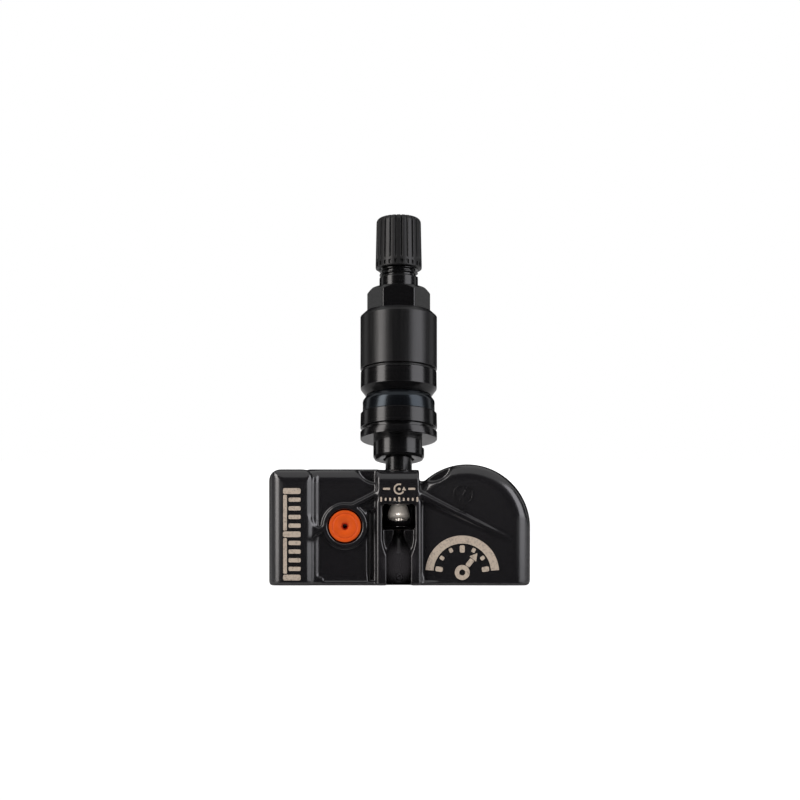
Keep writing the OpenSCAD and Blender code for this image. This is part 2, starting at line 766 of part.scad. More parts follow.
module valve_cap() {
    bore_r = thread_r + run_gap;
    color("#202022") along_valve() difference() {
        rotate_extrude() polygon(concat(
            [[0, cap_s], [cap_r - 0.2, cap_s], [cap_r, cap_s + 0.2], [cap_r, cap_s + cap_band_h]],
            [for (i = [0:6]) let (a = i * 15) [cap_top_r - 1.2 + 1.2 * cos(a),
                cap_top_s - cap_dome_h + 0.95 * cap_dome_h * sin(a)]],
            [[0, cap_top_s]]));
        for (i = [0:flutes - 1]) rotate(i * 360 / flutes)
            translate([cap_r + 0.32 - flute_d, 0, cap_s + cap_band_h]) rotate([0, -0.9, 0])
                cylinder(r = 0.32, h = cap_l, $fn = 16);
        translate([0, 0, cap_s - over]) cylinder(r = bore_r, h = stem_top_s + 1 - cap_s + over);
    }
}

module cap_seal() {
    color("#3a3a3c") along_valve() translate([0, 0, stem_top_s + run_gap]) difference() {
        cylinder(r = thread_r - 0.05, h = 1 - run_gap);
        translate([0, 0, -over]) cylinder(r = core_r, h = 1 + 2 * over);
    }
}

module core_barrel() {
    color("goldenrod") along_valve() difference() {
        rotate_extrude() polygon([
            [pin_r + 0.3, core_end_s], [sleeve_r, core_end_s], [sleeve_r, core_ledge_s],
            [core_r, core_ledge_s], [core_r, core_top_s - 0.2], [core_r - 0.2, core_top_s],
            [core_r - 0.65, core_top_s], [core_r - 0.65, spring_seat_s], [pin_r + 0.3, spring_seat_s]]);
        translate([-core_r - over, -0.8, core_top_s - 1]) cube([2 * (core_r + over), 1.6, 1 + over]);
    }
}

module core_seal() {
    color("white") along_valve() rotate_extrude() polygon([
        [sleeve_r + fit_gap, core_ledge_s - seal_t], [core_r, core_ledge_s - seal_t],
        [core_r, core_ledge_s], [sleeve_r + fit_gap, core_ledge_s]]);
}

module core_pin() {
    color("gold") along_valve() rotate_extrude() polygon([
        [0, core_end_s - cup_t - pin_tail], [pin_r + 0.25, core_end_s - cup_t - pin_tail],
        [pin_r + 0.25, core_end_s - cup_t], [pin_r, core_end_s - cup_t], [pin_r, pin_head_s - pin_head_t],
        [core_r - 0.95, pin_head_s - pin_head_t], [core_r - 0.95, pin_head_s], [pin_r, pin_head_s],
        [pin_r, core_top_s + 0.1], [pin_r - 0.15, core_top_s + pin_proud], [0, core_top_s + pin_proud]]);
}

module core_cup() {
    color("#303030") along_valve() rotate_extrude() polygon([
        [pin_r + fit_gap, core_end_s - cup_t], [sleeve_r - 0.25, core_end_s - cup_t],
        [sleeve_r - 0.25, core_end_s - 0.1], [sleeve_r - 0.35, core_end_s], [pin_r + fit_gap, core_end_s]]);
}

// Round wire wound about the pin: rings of points joined by triangles
module core_spring() {
    sides = 8;
    rings = spring_turns * 14;
    coil_r = core_r - 1.2;
    low = spring_seat_s + spring_wire / 2;
    rise = pin_head_s - pin_head_t - spring_seat_s - spring_wire;
    points = [for (i = [0:rings], j = [0:sides - 1])
        let (turn = i / rings * spring_turns * 360, side = j * 360 / sides,
            r = coil_r + spring_wire / 2 * cos(side))
        [r * cos(turn), r * sin(turn), low + rise * i / rings + spring_wire / 2 * sin(side)]];
    walls = [for (i = [0:rings - 1], j = [0:sides - 1])
        let (a = i * sides + j, b = i * sides + (j + 1) % sides)
        each [[a, b, b + sides], [a, b + sides, a + sides]]];
    ends = [[for (j = [0:sides - 1]) sides - 1 - j], [for (j = [0:sides - 1]) rings * sides + j]];
    color("silver") along_valve() polyhedron(points, concat(walls, ends));
}

housing();
port_insert();
port_membrane();
potting();
circuit_board();
sensor_chip();
antenna_coil();
crystal();
capacitor();
battery_cell();
battery_tab_plus();
battery_tab_minus();
retaining_screw();
valve_stem();
grommet();
clamp_ring();
union_nut();
valve_cap();
cap_seal();
core_barrel();
core_seal();
core_pin();
core_cup();
core_spring();
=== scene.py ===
# Looks of the tyre pressure sensor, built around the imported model.
# Sizes are in millimetres, and mm turns them into the metres that the frame uses.
from math import atan2, cos, degrees, hypot, radians, sin, sqrt, tan

import bpy
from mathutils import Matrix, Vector


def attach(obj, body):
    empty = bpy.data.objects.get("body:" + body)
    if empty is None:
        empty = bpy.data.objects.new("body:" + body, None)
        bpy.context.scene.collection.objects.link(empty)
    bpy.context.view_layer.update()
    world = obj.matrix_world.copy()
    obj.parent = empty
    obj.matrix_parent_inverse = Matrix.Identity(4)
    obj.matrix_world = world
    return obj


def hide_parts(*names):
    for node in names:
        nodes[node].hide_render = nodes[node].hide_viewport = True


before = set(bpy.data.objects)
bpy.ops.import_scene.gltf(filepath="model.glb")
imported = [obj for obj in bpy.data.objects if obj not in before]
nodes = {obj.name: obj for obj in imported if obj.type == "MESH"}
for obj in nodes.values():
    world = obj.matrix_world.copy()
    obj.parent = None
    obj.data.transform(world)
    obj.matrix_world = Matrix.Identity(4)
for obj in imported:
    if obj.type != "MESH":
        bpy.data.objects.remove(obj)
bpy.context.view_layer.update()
scene = bpy.context.scene
mm = 0.001

# Camera
# The picture is taken level from the front with a long lens. It is 159.5 mm wide at the valve's plane.
picture_width = 159.5
picture_x = 0.26
picture_z = 36.9
camera_distance = 3000.0

camera_data = bpy.data.cameras.new("camera")
camera_data.sensor_width = 36.0
camera_data.lens = camera_data.sensor_width * camera_distance / picture_width
camera = bpy.data.objects.new("camera", camera_data)
camera.location = (picture_x * mm, -camera_distance * mm, picture_z * mm)
camera.rotation_euler = (radians(90), 0, 0)
scene.collection.objects.link(camera)
scene.camera = camera
scene.view_settings.view_transform = "Standard"

# Studio
# A white table and surroundings, two tall soft boxes beside the camera, and a dark screen around them with
# a gap on each side. The screen and a dark card on the table keep the faces of the black parts dark. Two
# narrow lamps reach where the soft boxes don't: the screw under its bridge, and the guide below it.
soft_boxes = {
    "left_soft_box": {"azimuth": -59, "width": 0.46, "watts": 9.2, "colour": (1.0, 0.96, 0.94)},
    "right_soft_box": {"azimuth": 63, "width": 0.78, "watts": 8.6, "colour": (0.965, 0.955, 1.0)},
}
narrow_lamps = {
    "screw_lamp": {"watts": 1.9, "cone": 1.0, "glints": True,
                   "place": (-0.012, -0.25, 0.0135), "aim": (0, -0.001, 0.0143)},
    "guide_lamp": {"watts": 7.0, "cone": 1.4, "glints": False,
                   "place": (0.004, -0.30, 0.012), "aim": (0, -0.001, 0.0044)},
}
narrow_lamp_colour = (1.0, 0.97, 0.93)
narrow_lamp_radius = 0.001
narrow_lamp_blend = 0.6
soft_box_height = 1.25
soft_box_distance = 1.0
soft_box_z = 0.45
screen_radius = 1.7
screen_top = 1.5
screen_gap = (110, 130)
screen_black = (0.012, 0.012, 0.013, 1)
card_size = (0.2, 0.8)
card_front = 0.0095
card_z = 0.0001
sky_strength = 0.55
table_size = 12.0
table_z = -0.00005
table_glow = 0.86


def new_material(name):
    material = bpy.data.materials.new(name)
    material.use_nodes = True
    material.node_tree.nodes.clear()
    return material


def add_node(tree, kind, **values):
    """Adds a node and sets its properties, or its inputs where the name is an input's."""
    node = tree.nodes.new(kind)
    for name, value in values.items():
        label = name.replace("_", " ")
        if hasattr(node, name):
            setattr(node, name, value)
        else:
            node.inputs[label].default_value = value
    return node


def seen_by_camera(tree, seen, otherwise):
    """A socket with one value where the camera looks at the thing itself, and another elsewhere."""
    path = add_node(tree, "ShaderNodeLightPath")
    level = add_node(tree, "ShaderNodeMapRange")
    level.inputs["To Min"].default_value = otherwise
    level.inputs["To Max"].default_value = seen
    tree.links.new(path.outputs["Is Camera Ray"], level.inputs["Value"])
    return level.outputs["Result"]


def pick_faces(piece, test):
    """Selects the faces whose centre, in millimetres, passes the test, and enters edit mode."""
    bpy.ops.object.mode_set(mode="OBJECT")
    bpy.context.tool_settings.mesh_select_mode = (False, False, True)
    for flag in (piece.data.vertices, piece.data.edges, piece.data.polygons):
        flag.foreach_set("select", [False] * len(flag))
    for face in piece.data.polygons:
        face.select = test(*(face.center / mm))
    bpy.ops.object.mode_set(mode="EDIT")


world = bpy.data.worlds.new("studio")
world.use_nodes = True
world.node_tree.nodes.clear()
background = add_node(world.node_tree, "ShaderNodeBackground")
world.node_tree.links.new(seen_by_camera(world.node_tree, 1.0, sky_strength), background.inputs["Strength"])
background.inputs["Color"].default_value = (1, 1, 1, 1)
world_out = add_node(world.node_tree, "ShaderNodeOutputWorld")
world.node_tree.links.new(background.outputs[0], world_out.inputs["Surface"])
scene.world = world

table_material = new_material("white_table")
tree = table_material.node_tree
paint = add_node(tree, "ShaderNodeBsdfDiffuse", Color=(0.8, 0.8, 0.8, 1))
glow = add_node(tree, "ShaderNodeEmission", Color=(1, 1, 1, 1))
tree.links.new(seen_by_camera(tree, table_glow, 0.0), glow.inputs["Strength"])
both = add_node(tree, "ShaderNodeAddShader")
tree.links.new(paint.outputs[0], both.inputs[0])
tree.links.new(glow.outputs[0], both.inputs[1])
table_out = add_node(tree, "ShaderNodeOutputMaterial")
tree.links.new(both.outputs[0], table_out.inputs["Surface"])

bpy.ops.object.select_all(action="DESELECT")
bpy.ops.mesh.primitive_plane_add(size=table_size, location=(0, 0, table_z))
table = bpy.context.object
table.name = "white_table"
table.data.materials.append(table_material)

screen_material = new_material("dark_screen")
tree = screen_material.node_tree
cloth = add_node(tree, "ShaderNodeBsdfDiffuse", Color=screen_black)
screen_out = add_node(tree, "ShaderNodeOutputMaterial")
tree.links.new(cloth.outputs[0], screen_out.inputs["Surface"])

bpy.ops.object.select_all(action="DESELECT")
bpy.ops.mesh.primitive_cylinder_add(vertices=90, radius=screen_radius, depth=screen_top,
                                    location=(0, 0, screen_top / 2), end_fill_type="NOTHING")
screen = bpy.context.object
screen.name = "dark_screen"
bpy.ops.object.transform_apply(location=True, rotation=True, scale=True)
pick_faces(screen, lambda x, y, z: screen_gap[0] < degrees(abs(atan2(x, -y))) < screen_gap[1])
bpy.ops.mesh.delete(type="FACE")
bpy.ops.object.mode_set(mode="OBJECT")
screen.data.materials.append(screen_material)
screen.visible_camera = False

bpy.ops.object.select_all(action="DESELECT")
bpy.ops.mesh.primitive_plane_add(size=1, location=(0, -card_front - card_size[1] / 2, card_z))
card = bpy.context.object
card.name = "dark_card"
card.scale = (card_size[0], card_size[1], 1)
bpy.ops.object.transform_apply(location=True, rotation=True, scale=True)
card.data.materials.append(screen_material)
# Only reflections see the card
card.visible_camera = False
card.visible_diffuse = False
card.visible_shadow = False

for name, soft_box in soft_boxes.items():
    light = bpy.data.lights.new(name, "AREA")
    light.shape = "RECTANGLE"
    light.size = soft_box["width"]
    light.size_y = soft_box_height
    light.energy = soft_box["watts"]
    light.color = soft_box["colour"]
    lamp = bpy.data.objects.new(name, light)
    azimuth = radians(soft_box["azimuth"])
    lamp.location = (soft_box_distance * sin(azimuth), -soft_box_distance * cos(azimuth), soft_box_z)
    lamp.rotation_euler = (radians(90), 0, azimuth)
    lamp.visible_camera = False
    scene.collection.objects.link(lamp)

for name, narrow_lamp in narrow_lamps.items():
    light = bpy.data.lights.new(name, "SPOT")
    light.energy = narrow_lamp["watts"]
    light.spot_size = radians(narrow_lamp["cone"])
    light.spot_blend = narrow_lamp_blend
    light.shadow_soft_size = narrow_lamp_radius
    light.color = narrow_lamp_colour
    lamp = bpy.data.objects.new(name, light)
    lamp.location = narrow_lamp["place"]
    sight = Vector(narrow_lamp["aim"]) - Vector(narrow_lamp["place"])
    lamp.rotation_euler = sight.to_track_quat("-Z", "Y").to_euler()
    lamp.visible_camera = False
    lamp.visible_glossy = narrow_lamp["glints"]
    scene.collection.objects.link(lamp)

# Housing
# One injection-moulded shell of black glass-filled nylon. Its edges are softly rounded by the mould, and
# its faces carry a fine spark-eroded texture.
housing_voxel = 0.19
housing_face_budget = 170000
plastic_colour = (0.0124, 0.0118, 0.0134, 1)
edge_softness = 20
skin_depth = 0.02
potting_back = 7.7
resin_depth = 0.7
port_floor = 6.2
plug_depth = 0.4
thin_lip = 0.75
under_housing = -1
over_housing = 25
merge_distance = 1e-7


def only(piece):
    bpy.ops.object.select_all(action="DESELECT")
    piece.select_set(True)
    bpy.context.view_layer.objects.active = piece


def set_in_place(piece, where=(0, 0, 0), turn=(0, 0, 0)):
    """Turns a piece about X, Y and Z, then moves it by millimetres, and applies both."""
    only(piece)
    piece.rotation_euler = turn
    piece.location = [value * mm for value in where]
    bpy.ops.object.transform_apply(location=True, rotation=True, scale=True)


def apply_modifier(piece, kind, **values):
    only(piece)
    modifier = piece.modifiers.new(kind.lower(), kind)
    for name, value in values.items():
        setattr(modifier, name, value)
    bpy.ops.object.modifier_apply(modifier=modifier.name)


def copy_of_node(node, name):
    """A merged copy of a CAD node, free to be worked on."""
    piece = bpy.data.objects.new(name, nodes[node].data.copy())
    piece.data.materials.clear()
    scene.collection.objects.link(piece)
    only(piece)
    bpy.ops.object.mode_set(mode="EDIT")
    bpy.ops.mesh.select_all(action="SELECT")
    bpy.ops.mesh.remove_doubles(threshold=merge_distance)
    bpy.ops.object.mode_set(mode="OBJECT")
    return piece


def cut_off(piece, y, keep_back):
    """Cuts a piece by the upright plane at y and closes it."""
    only(piece)
    bpy.ops.object.mode_set(mode="EDIT")
    bpy.ops.mesh.select_all(action="SELECT")
    bpy.ops.mesh.bisect(plane_co=(0, y * mm, 0), plane_no=(0, 1, 0), use_fill=True,
                        clear_inner=keep_back, clear_outer=not keep_back)
    bpy.ops.object.mode_set(mode="OBJECT")


def join(pieces):
    only(pieces[0])
    for piece in pieces[1:]:
        piece.select_set(True)
    bpy.ops.object.join()
    return pieces[0]


def cut_away(piece, cutter):
    """Cuts the cutter's shape out of a piece and removes the cutter."""
    apply_modifier(piece, "BOOLEAN", object=cutter, operation="DIFFERENCE", solver="EXACT")
    bpy.data.objects.remove(cutter)


def pick_edges(piece, test):
    """Selects the edges whose two ends, in millimetres, pass the test, and enters edit mode."""
    bpy.ops.object.mode_set(mode="OBJECT")
    bpy.context.tool_settings.mesh_select_mode = (False, True, False)
    for flag in (piece.data.vertices, piece.data.edges, piece.data.polygons):
        flag.foreach_set("select", [False] * len(flag))
    for edge in piece.data.edges:
        first, second = (piece.data.vertices[i].co / mm for i in edge.vertices)
        edge.select = test(first, second)
    bpy.ops.object.mode_set(mode="EDIT")


def turned(name, outline, sides=128):
    """A piece turned about Z from an outline of (radius, height) in millimetres, closed on itself or
    on the axis. It is drawn ring by ring, each one extruded from the last and opened to its radius."""
    smallest_radius = 0.001
    weld_distance = 0.003
    radius, height = outline[0]
    radius = max(radius, smallest_radius)
    bpy.context.tool_settings.mesh_select_mode = (True, False, False)
    bpy.ops.object.select_all(action="DESELECT")
    bpy.ops.mesh.primitive_circle_add(vertices=sides, radius=radius * mm, fill_type="NOTHING",
                                      location=(0, 0, height * mm))
    piece = bpy.context.object
    piece.name = name
    bpy.ops.object.transform_apply(location=True, rotation=True, scale=True)
    bpy.ops.object.mode_set(mode="EDIT")
    bpy.ops.mesh.select_all(action="SELECT")
    for next_radius, next_height in outline[1:]:
        next_radius = max(next_radius, smallest_radius)
        scale = next_radius / radius
        bpy.ops.mesh.extrude_region_move(
            TRANSFORM_OT_translate={"value": (0, 0, (next_height - height) * mm)})
        bpy.ops.transform.resize(value=(scale, scale, 1), center_override=(0, 0, next_height * mm))
        radius, height = next_radius, next_height
    bpy.ops.mesh.select_all(action="SELECT")
    bpy.ops.mesh.remove_doubles(threshold=weld_distance * mm)
    bpy.ops.mesh.normals_make_consistent(inside=False)
    bpy.ops.object.mode_set(mode="OBJECT")
    return piece


def box(name, low, high, turn=0.0):
    """A box between two corners in millimetres, turned about its own upright middle line."""
    centre = [(a + b) / 2 * mm for a, b in zip(low, high)]
    bpy.ops.object.select_all(action="DESELECT")
    bpy.ops.mesh.primitive_cube_add(size=1, location=centre, rotation=(0, 0, turn),
                                    scale=[(b - a) * mm for a, b in zip(low, high)])
    piece = bpy.context.object
    piece.name = name
    bpy.ops.object.transform_apply(location=True, rotation=True, scale=True)
    return piece


def ease_edge(x, y, turn, half_width=2.5, half_depth=2.0, low_z=under_housing, high_z=over_housing):
    """Cuts a facet along an upright edge of the housing with a turned box whose middle is at x and y."""
    cut_away(housing, box("edge_cutter", (x - half_width, y - half_depth, low_z),
                          (x + half_width, y + half_depth, high_z), radians(turn)))


housing = copy_of_node("housing", "housing_shell")

# The block's edge beside the panel is eased below and above the rib that runs into it, the dome's edge gets
# three facets, and the block's outer edge is made round
for low_z, high_z in ((under_housing, 9.3), (13.6, over_housing)):
    ease_edge(-16.9, -9.47, 30, half_width=1.8, half_depth=1.8, low_z=low_z, high_z=high_z)
for x, y, turn in ((24.64, -10.05, 19), (25.63, -9.59, 31), (26.50, -8.93, 43)):
    ease_edge(x, y, turn)
round_x, round_y, round_radius = -22.65, -5.05, 3.15
outer_edge = box("outer_edge", (-27, -9.5, under_housing), (round_x, round_y, over_housing))
edge_round = turned("edge_round", [(0, under_housing - 1), (round_radius, under_housing - 1),
                                   (round_radius, over_housing + 1), (0, over_housing + 1)])
set_in_place(edge_round, (round_x, round_y, 0))
cut_away(outer_edge, edge_round)
cut_away(housing, outer_edge)

# The lip along the bottom is thinned down in front of the panel and the dome, and the valley beside the left
# rail runs on down to it
lip_top = 2.3
cut_away(housing, box("lip_cutter", (-15.15, -8.5, thin_lip), (-4.75, -6.83, lip_top)))
cut_away(housing, box("lip_cutter", (4.7, -8.86, thin_lip), (11.1, -6.86, lip_top), radians(-5.5)))
cut_away(housing, box("valley_foot", (-6.05, -8.5, thin_lip), (-4.55, -6.02, lip_top)))

# The front of the bridge is rounded at its top
brow_radius = 2.2
bridge_brow = box("bridge_brow", (-4.08, -7.98, 18), (4.08, -2.6, 22.6))
pick_edges(bridge_brow, lambda a, b: min(a.z, b.z) > 22 and max(a.y, b.y) < -7)
bpy.ops.mesh.bevel(offset=brow_radius * mm, segments=8, affect="EDGES")
bpy.ops.object.mode_set(mode="OBJECT")

# Two cheeks make the driver guide's neck, with shoulders like a bottle's
guide_floor_y = 0.6
cheeks = box("guide_cheeks", (-3.6, -4.4, 5.4), (3.6, guide_floor_y, 11.2))
bottle = turned("bottle", [(0, 5), (2.45, 5), (2.42, 6.4), (2.3, 7.2), (2.05, 7.9), (1.65, 8.6), (1.32, 9.3),
                           (1.15, 10.1), (1.1, 10.8), (1.1, 12), (0, 12)], sides=96)
bottle.scale = (1, 6, 1)
set_in_place(bottle)
cut_away(cheeks, bottle)

# A small round mark of the mould stands on the guide's floor
mould_mark = turned("mould_mark", [(0.26, -0.3), (0.8, -0.3), (0.8, 0.75), (0.26, 0.75), (0.26, -0.3)],
                    sides=48)
set_in_place(mould_mark, (0.15, guide_floor_y, 1.7), (radians(90), 0, 0))

# The rib on the dome stands out as far as its end
rib_end = box("rib_end", (0, 0, -0.35), (11.9, 1.2, 0.35))
set_in_place(rib_end, (11.5, -8.0, 14.63), (0, radians(27), radians(-2.3)))

# Copies of the resin and the plug fill the shell, so that the remesh makes no inner walls. Each is cut off
# a little way below the face that shows.
core = copy_of_node("potting", "resin_core")
cut_off(core, potting_back - resin_depth, keep_back=False)
plug_root = copy_of_node("port_insert", "plug_root")
cut_off(plug_root, plug_depth - port_floor, keep_back=True)

join([housing, core, plug_root, bridge_brow, cheeks, mould_mark, rib_end])
apply_modifier(housing, "REMESH", mode="VOXEL", voxel_size=housing_voxel * mm, adaptivity=0.0)
apply_modifier(housing, "SMOOTH", factor=0.5, iterations=edge_softness)
if len(housing.data.polygons) * 2 > housing_face_budget:
    apply_modifier(housing, "DECIMATE", ratio=housing_face_budget / (len(housing.data.polygons) * 2))
only(housing)
bpy.ops.object.shade_smooth()


def new_group(name, inputs, outputs):
    """A shader node group with named sockets: inputs as {name: (kind, default)}, outputs as names."""
    group = bpy.data.node_groups.new(name, "ShaderNodeTree")
    for label, (kind, default) in inputs.items():
        socket = group.interface.new_socket(label, in_out="INPUT", socket_type=kind)
        if default is not None:
            socket.default_value = default
    for label in outputs:
        group.interface.new_socket(label, in_out="OUTPUT", socket_type="NodeSocketFloat")
    return group, group.nodes.new("NodeGroupInput"), group.nodes.new("NodeGroupOutput")


# Fine skin of a moulded part: height for the bump, and slow patches for the roughness
moulded_skin, skin_in, skin_out = new_group(
    "moulded_skin",
    {"Vector": ("NodeSocketVector", None), "Grain": ("NodeSocketFloat", 3200.0),
     "Roughness": ("NodeSocketFloat", 0.45), "Patches": ("NodeSocketFloat", 0.08)},
    ["Height", "Roughness"])
grain = add_node(moulded_skin, "ShaderNodeTexNoise", Detail=2.0)
moulded_skin.links.new(skin_in.outputs["Vector"], grain.inputs["Vector"])
moulded_skin.links.new(skin_in.outputs["Grain"], grain.inputs["Scale"])
moulded_skin.links.new(grain.outputs["Fac"], skin_out.inputs["Height"])
patches = add_node(moulded_skin, "ShaderNodeTexNoise", Scale=180.0, Detail=3.0)
moulded_skin.links.new(skin_in.outputs["Vector"], patches.inputs["Vector"])
centred = add_node(moulded_skin, "ShaderNodeMath", operation="SUBTRACT")
centred.inputs[1].default_value = 0.5
moulded_skin.links.new(patches.outputs["Fac"], centred.inputs[0])
varied = add_node(moulded_skin, "ShaderNodeMath", operation="MULTIPLY_ADD")
moulded_skin.links.new(centred.outputs[0], varied.inputs[0])
moulded_skin.links.new(skin_in.outputs["Patches"], varied.inputs[1])
moulded_skin.links.new(skin_in.outputs["Roughness"], varied.inputs[2])
moulded_skin.links.new(varied.outputs[0], skin_out.inputs["Roughness"])


def moulded(name, colour, roughness, grain_scale=3200.0, bump=0.12, patches=0.08):
    """A moulded plastic or rubber with a fine skin. Returns the material and its shader."""
    material = new_material(name)
    tree = material.node_tree
    place = add_node(tree, "ShaderNodeTexCoord")
    skin = add_node(tree, "ShaderNodeGroup", node_tree=moulded_skin)
    skin.inputs["Grain"].default_value = grain_scale
    skin.inputs["Roughness"].default_value = roughness
    skin.inputs["Patches"].default_value = patches
    tree.links.new(place.outputs["Object"], skin.inputs["Vector"])
    relief = add_node(tree, "ShaderNodeBump", Strength=bump, Distance=skin_depth * mm)
    tree.links.new(skin.outputs["Height"], relief.inputs["Height"])
    shader = add_node(tree, "ShaderNodeBsdfPrincipled")
    shader.inputs["Base Color"].default_value = colour
    tree.links.new(skin.outputs["Roughness"], shader.inputs["Roughness"])
    tree.links.new(relief.outputs["Normal"], shader.inputs["Normal"])
    out = add_node(tree, "ShaderNodeOutputMaterial")
    tree.links.new(shader.outputs[0], out.inputs["Surface"])
    return material, shader


housing_plastic, housing_shader = moulded("housing_plastic", plastic_colour, roughness=0.22, bump=0.1)
housing_shader.inputs["Specular IOR Level"].default_value = 1.0
housing.data.materials.append(housing_plastic)
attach(housing, "sensor")
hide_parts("housing")

# Marks on the housing
# Pad-printed in beige ink: a graduated scale on the block, a gauge on the dome, and a turning arrow over
# a row of ticks on the bridge. A date clock stands out of the dome in the housing's own plastic.
ink_thickness = 0.2
ink_proud = 0.09
block_face_y = -8.2
bridge_face_y = -8.0
dome_face_y = -7.4
dome_centre_x = 13.65
dome_slope = radians(5.5)
ink_colour = (0.60, 0.505, 0.405, 1)
ink_thin_colour = (0.36, 0.30, 0.24, 1)
clock_height = 0.4
clock_proud = 0.2


def pick_vertices(piece, test):
    """Selects the vertices whose place, in millimetres, passes the test, and enters edit mode."""
    bpy.ops.object.mode_set(mode="OBJECT")
    bpy.context.tool_settings.mesh_select_mode = (True, False, False)
    for flag in (piece.data.vertices, piece.data.edges, piece.data.polygons):
        flag.foreach_set("select", [False] * len(flag))
    for vertex in piece.data.vertices:
        vertex.select = test(*(vertex.co / mm))
    bpy.ops.object.mode_set(mode="EDIT")


def stand_on_face(piece, x, front_y, z, slope=0.0):
    """Turns a piece that was drawn flat upright, to face the front, and lays it on the housing."""
    set_in_place(piece, (x, front_y, z), (radians(90), 0, -slope))


def dome_face_at(x):
    """The y of the dome's sloping face at x."""
    return dome_face_y - (x - dome_centre_x) * tan(dome_slope)


def flat_bar(x, y, width, height, turn=0.0, thickness=ink_thickness):
    """A flat bar with rounded corners, drawn in the XY plane."""
    bpy.ops.object.select_all(action="DESELECT")
    bpy.ops.mesh.primitive_cube_add(size=1, location=(x * mm, y * mm, 0), rotation=(0, 0, turn),
                                    scale=(width * mm, height * mm, thickness * mm))
    bar = bpy.context.object
    bpy.ops.object.transform_apply(location=True, rotation=True, scale=True)
    pick_edges(bar, lambda a, b: abs(a.z - b.z) > 0.5 * thickness)
    bpy.ops.mesh.bevel(offset=0.28 * min(width, height) * mm, segments=3, affect="EDGES")
    bpy.ops.object.mode_set(mode="OBJECT")
    return bar


def radial_bar(middle, angle, length, width, thickness=ink_thickness):
    """A flat bar that points away from the origin, with its middle at a distance from it."""
    return flat_bar(middle * cos(angle), middle * sin(angle), length, width, angle, thickness)


def flat_arc(inner, outer, start, end, sides=96, thickness=ink_thickness):
    """A flat arc about the origin, from start to end degrees counter-clockwise from X."""
    half = thickness / 2
    arc = turned("arc", [(inner, -half), (outer, -half), (outer, half), (inner, half), (inner, -half)], sides)
    pick_faces(arc, lambda x, y, z: not start < degrees(atan2(y, x)) % 360 < end)
    bpy.ops.mesh.delete(type="FACE")
    bpy.ops.mesh.select_all(action="SELECT")
    bpy.ops.mesh.fill_holes(sides=4)
    bpy.ops.mesh.normals_make_consistent(inside=False)
    bpy.ops.object.mode_set(mode="OBJECT")
    return arc


def flat_triangle(x, y, radius, turn, thickness=ink_thickness):
    """A flat triangle that points along turn, drawn in the XY plane, with its corners cut."""
    bpy.ops.object.select_all(action="DESELECT")
    bpy.ops.mesh.primitive_cylinder_add(vertices=3, radius=radius * mm, depth=thickness * mm,
                                        location=(x * mm, y * mm, 0), rotation=(0, 0, turn - radians(90)))
    triangle = bpy.context.object
    bpy.ops.object.transform_apply(location=True, rotation=True, scale=True)
    pick_edges(triangle, lambda a, b: abs(a.z - b.z) > 0.5 * thickness)
    bpy.ops.mesh.bevel(offset=0.1 * radius * mm, segments=2, affect="EDGES")
    bpy.ops.object.mode_set(mode="OBJECT")
    return triangle


scale_edge = 1.75
scale_pitch = 1.72
scale_parts = []
for i in range(-5, 6):
    length, width = (3.5, 1.15) if i % 5 == 0 else (2.4, 0.85)
    scale_parts.append(flat_bar(scale_edge - length / 2, i * scale_pitch, length, width))
for y in (-2.5 * scale_pitch, 2.5 * scale_pitch):
    scale_parts.append(flat_bar(-1.35, y, 0.75, 7.1))
scale_print = join(scale_parts)
scale_print.name = "printed_scale"
stand_on_face(scale_print, -21.25, block_face_y - ink_proud + ink_thickness / 2, 10.2)

gauge_x = 12.65
tick_end = 5.4
needle = radians(52)
gauge_parts = [flat_arc(5.75, 7.35, 2, 178)]
for i in range(7):
    tick_start, width = (3.95, 1.0) if i % 3 == 0 else (4.5, 0.75)
    gauge_parts.append(radial_bar((tick_start + tick_end) / 2, radians(8 + i * 164 / 6),
                                  tick_end - tick_start, width))
gauge_parts.append(radial_bar(2.45, needle, 1.7, 1.0))
gauge_parts.append(flat_triangle(3.9 * cos(needle), 3.9 * sin(needle), 1.0, needle))
gauge_parts.append(flat_arc(0.6, 1.5, 0, 360, 48))
gauge_print = join(gauge_parts)
gauge_print.name = "printed_gauge"
stand_on_face(gauge_print, gauge_x, dome_face_at(gauge_x) - ink_proud + ink_thickness / 2, 2.6, dome_slope)

arrow_parts = [flat_arc(0.8, 1.12, 70, 332, 48), flat_triangle(0.96, -0.02, 0.5, radians(92)),
               flat_arc(0.001, 0.28, 0, 360, 24)]
for i in range(9):
    arrow_parts.append(flat_bar(-3.6 + i * 0.9, -2.05, 0.36, 0.95 if i % 4 == 0 else 0.6))
for x in (-2.5, 2.5):
    arrow_parts.append(flat_bar(x, 0.05, 1.4, 0.42))
arrow_print = join(arrow_parts)
arrow_print.name = "printed_arrow"
stand_on_face(arrow_print, 0.1, bridge_face_y - ink_proud + ink_thickness / 2, 19.2)

clock_x = 12.9
clock_hand = radians(60)
clock_parts = [flat_arc(1.72, 2.0, 0, 360, 64, clock_height)]
for i in range(12):
    clock_parts.append(radial_bar(1.4, radians(30 * i), 0.34, 0.14, clock_height))
clock_parts.append(radial_bar(0.35, clock_hand, 1.3, 0.2, clock_height))
clock_parts.append(flat_triangle(0.62, 1.07, 0.32, clock_hand, clock_height))
for i in range(4):
    clock_parts.append(flat_bar(0, -2.45 - 0.4 * i, 2.2 - 0.35 * i, 0.16, 0.0, clock_height))
date_clock = join(clock_parts)
date_clock.name = "moulded_date_clock"
apply_modifier(date_clock, "BEVEL", width=0.07 * mm, segments=2, limit_method="ANGLE",
               angle_limit=radians(40))
stand_on_face(date_clock, clock_x, dome_face_at(clock_x) - clock_proud + clock_height / 2, 18.2, dome_slope)

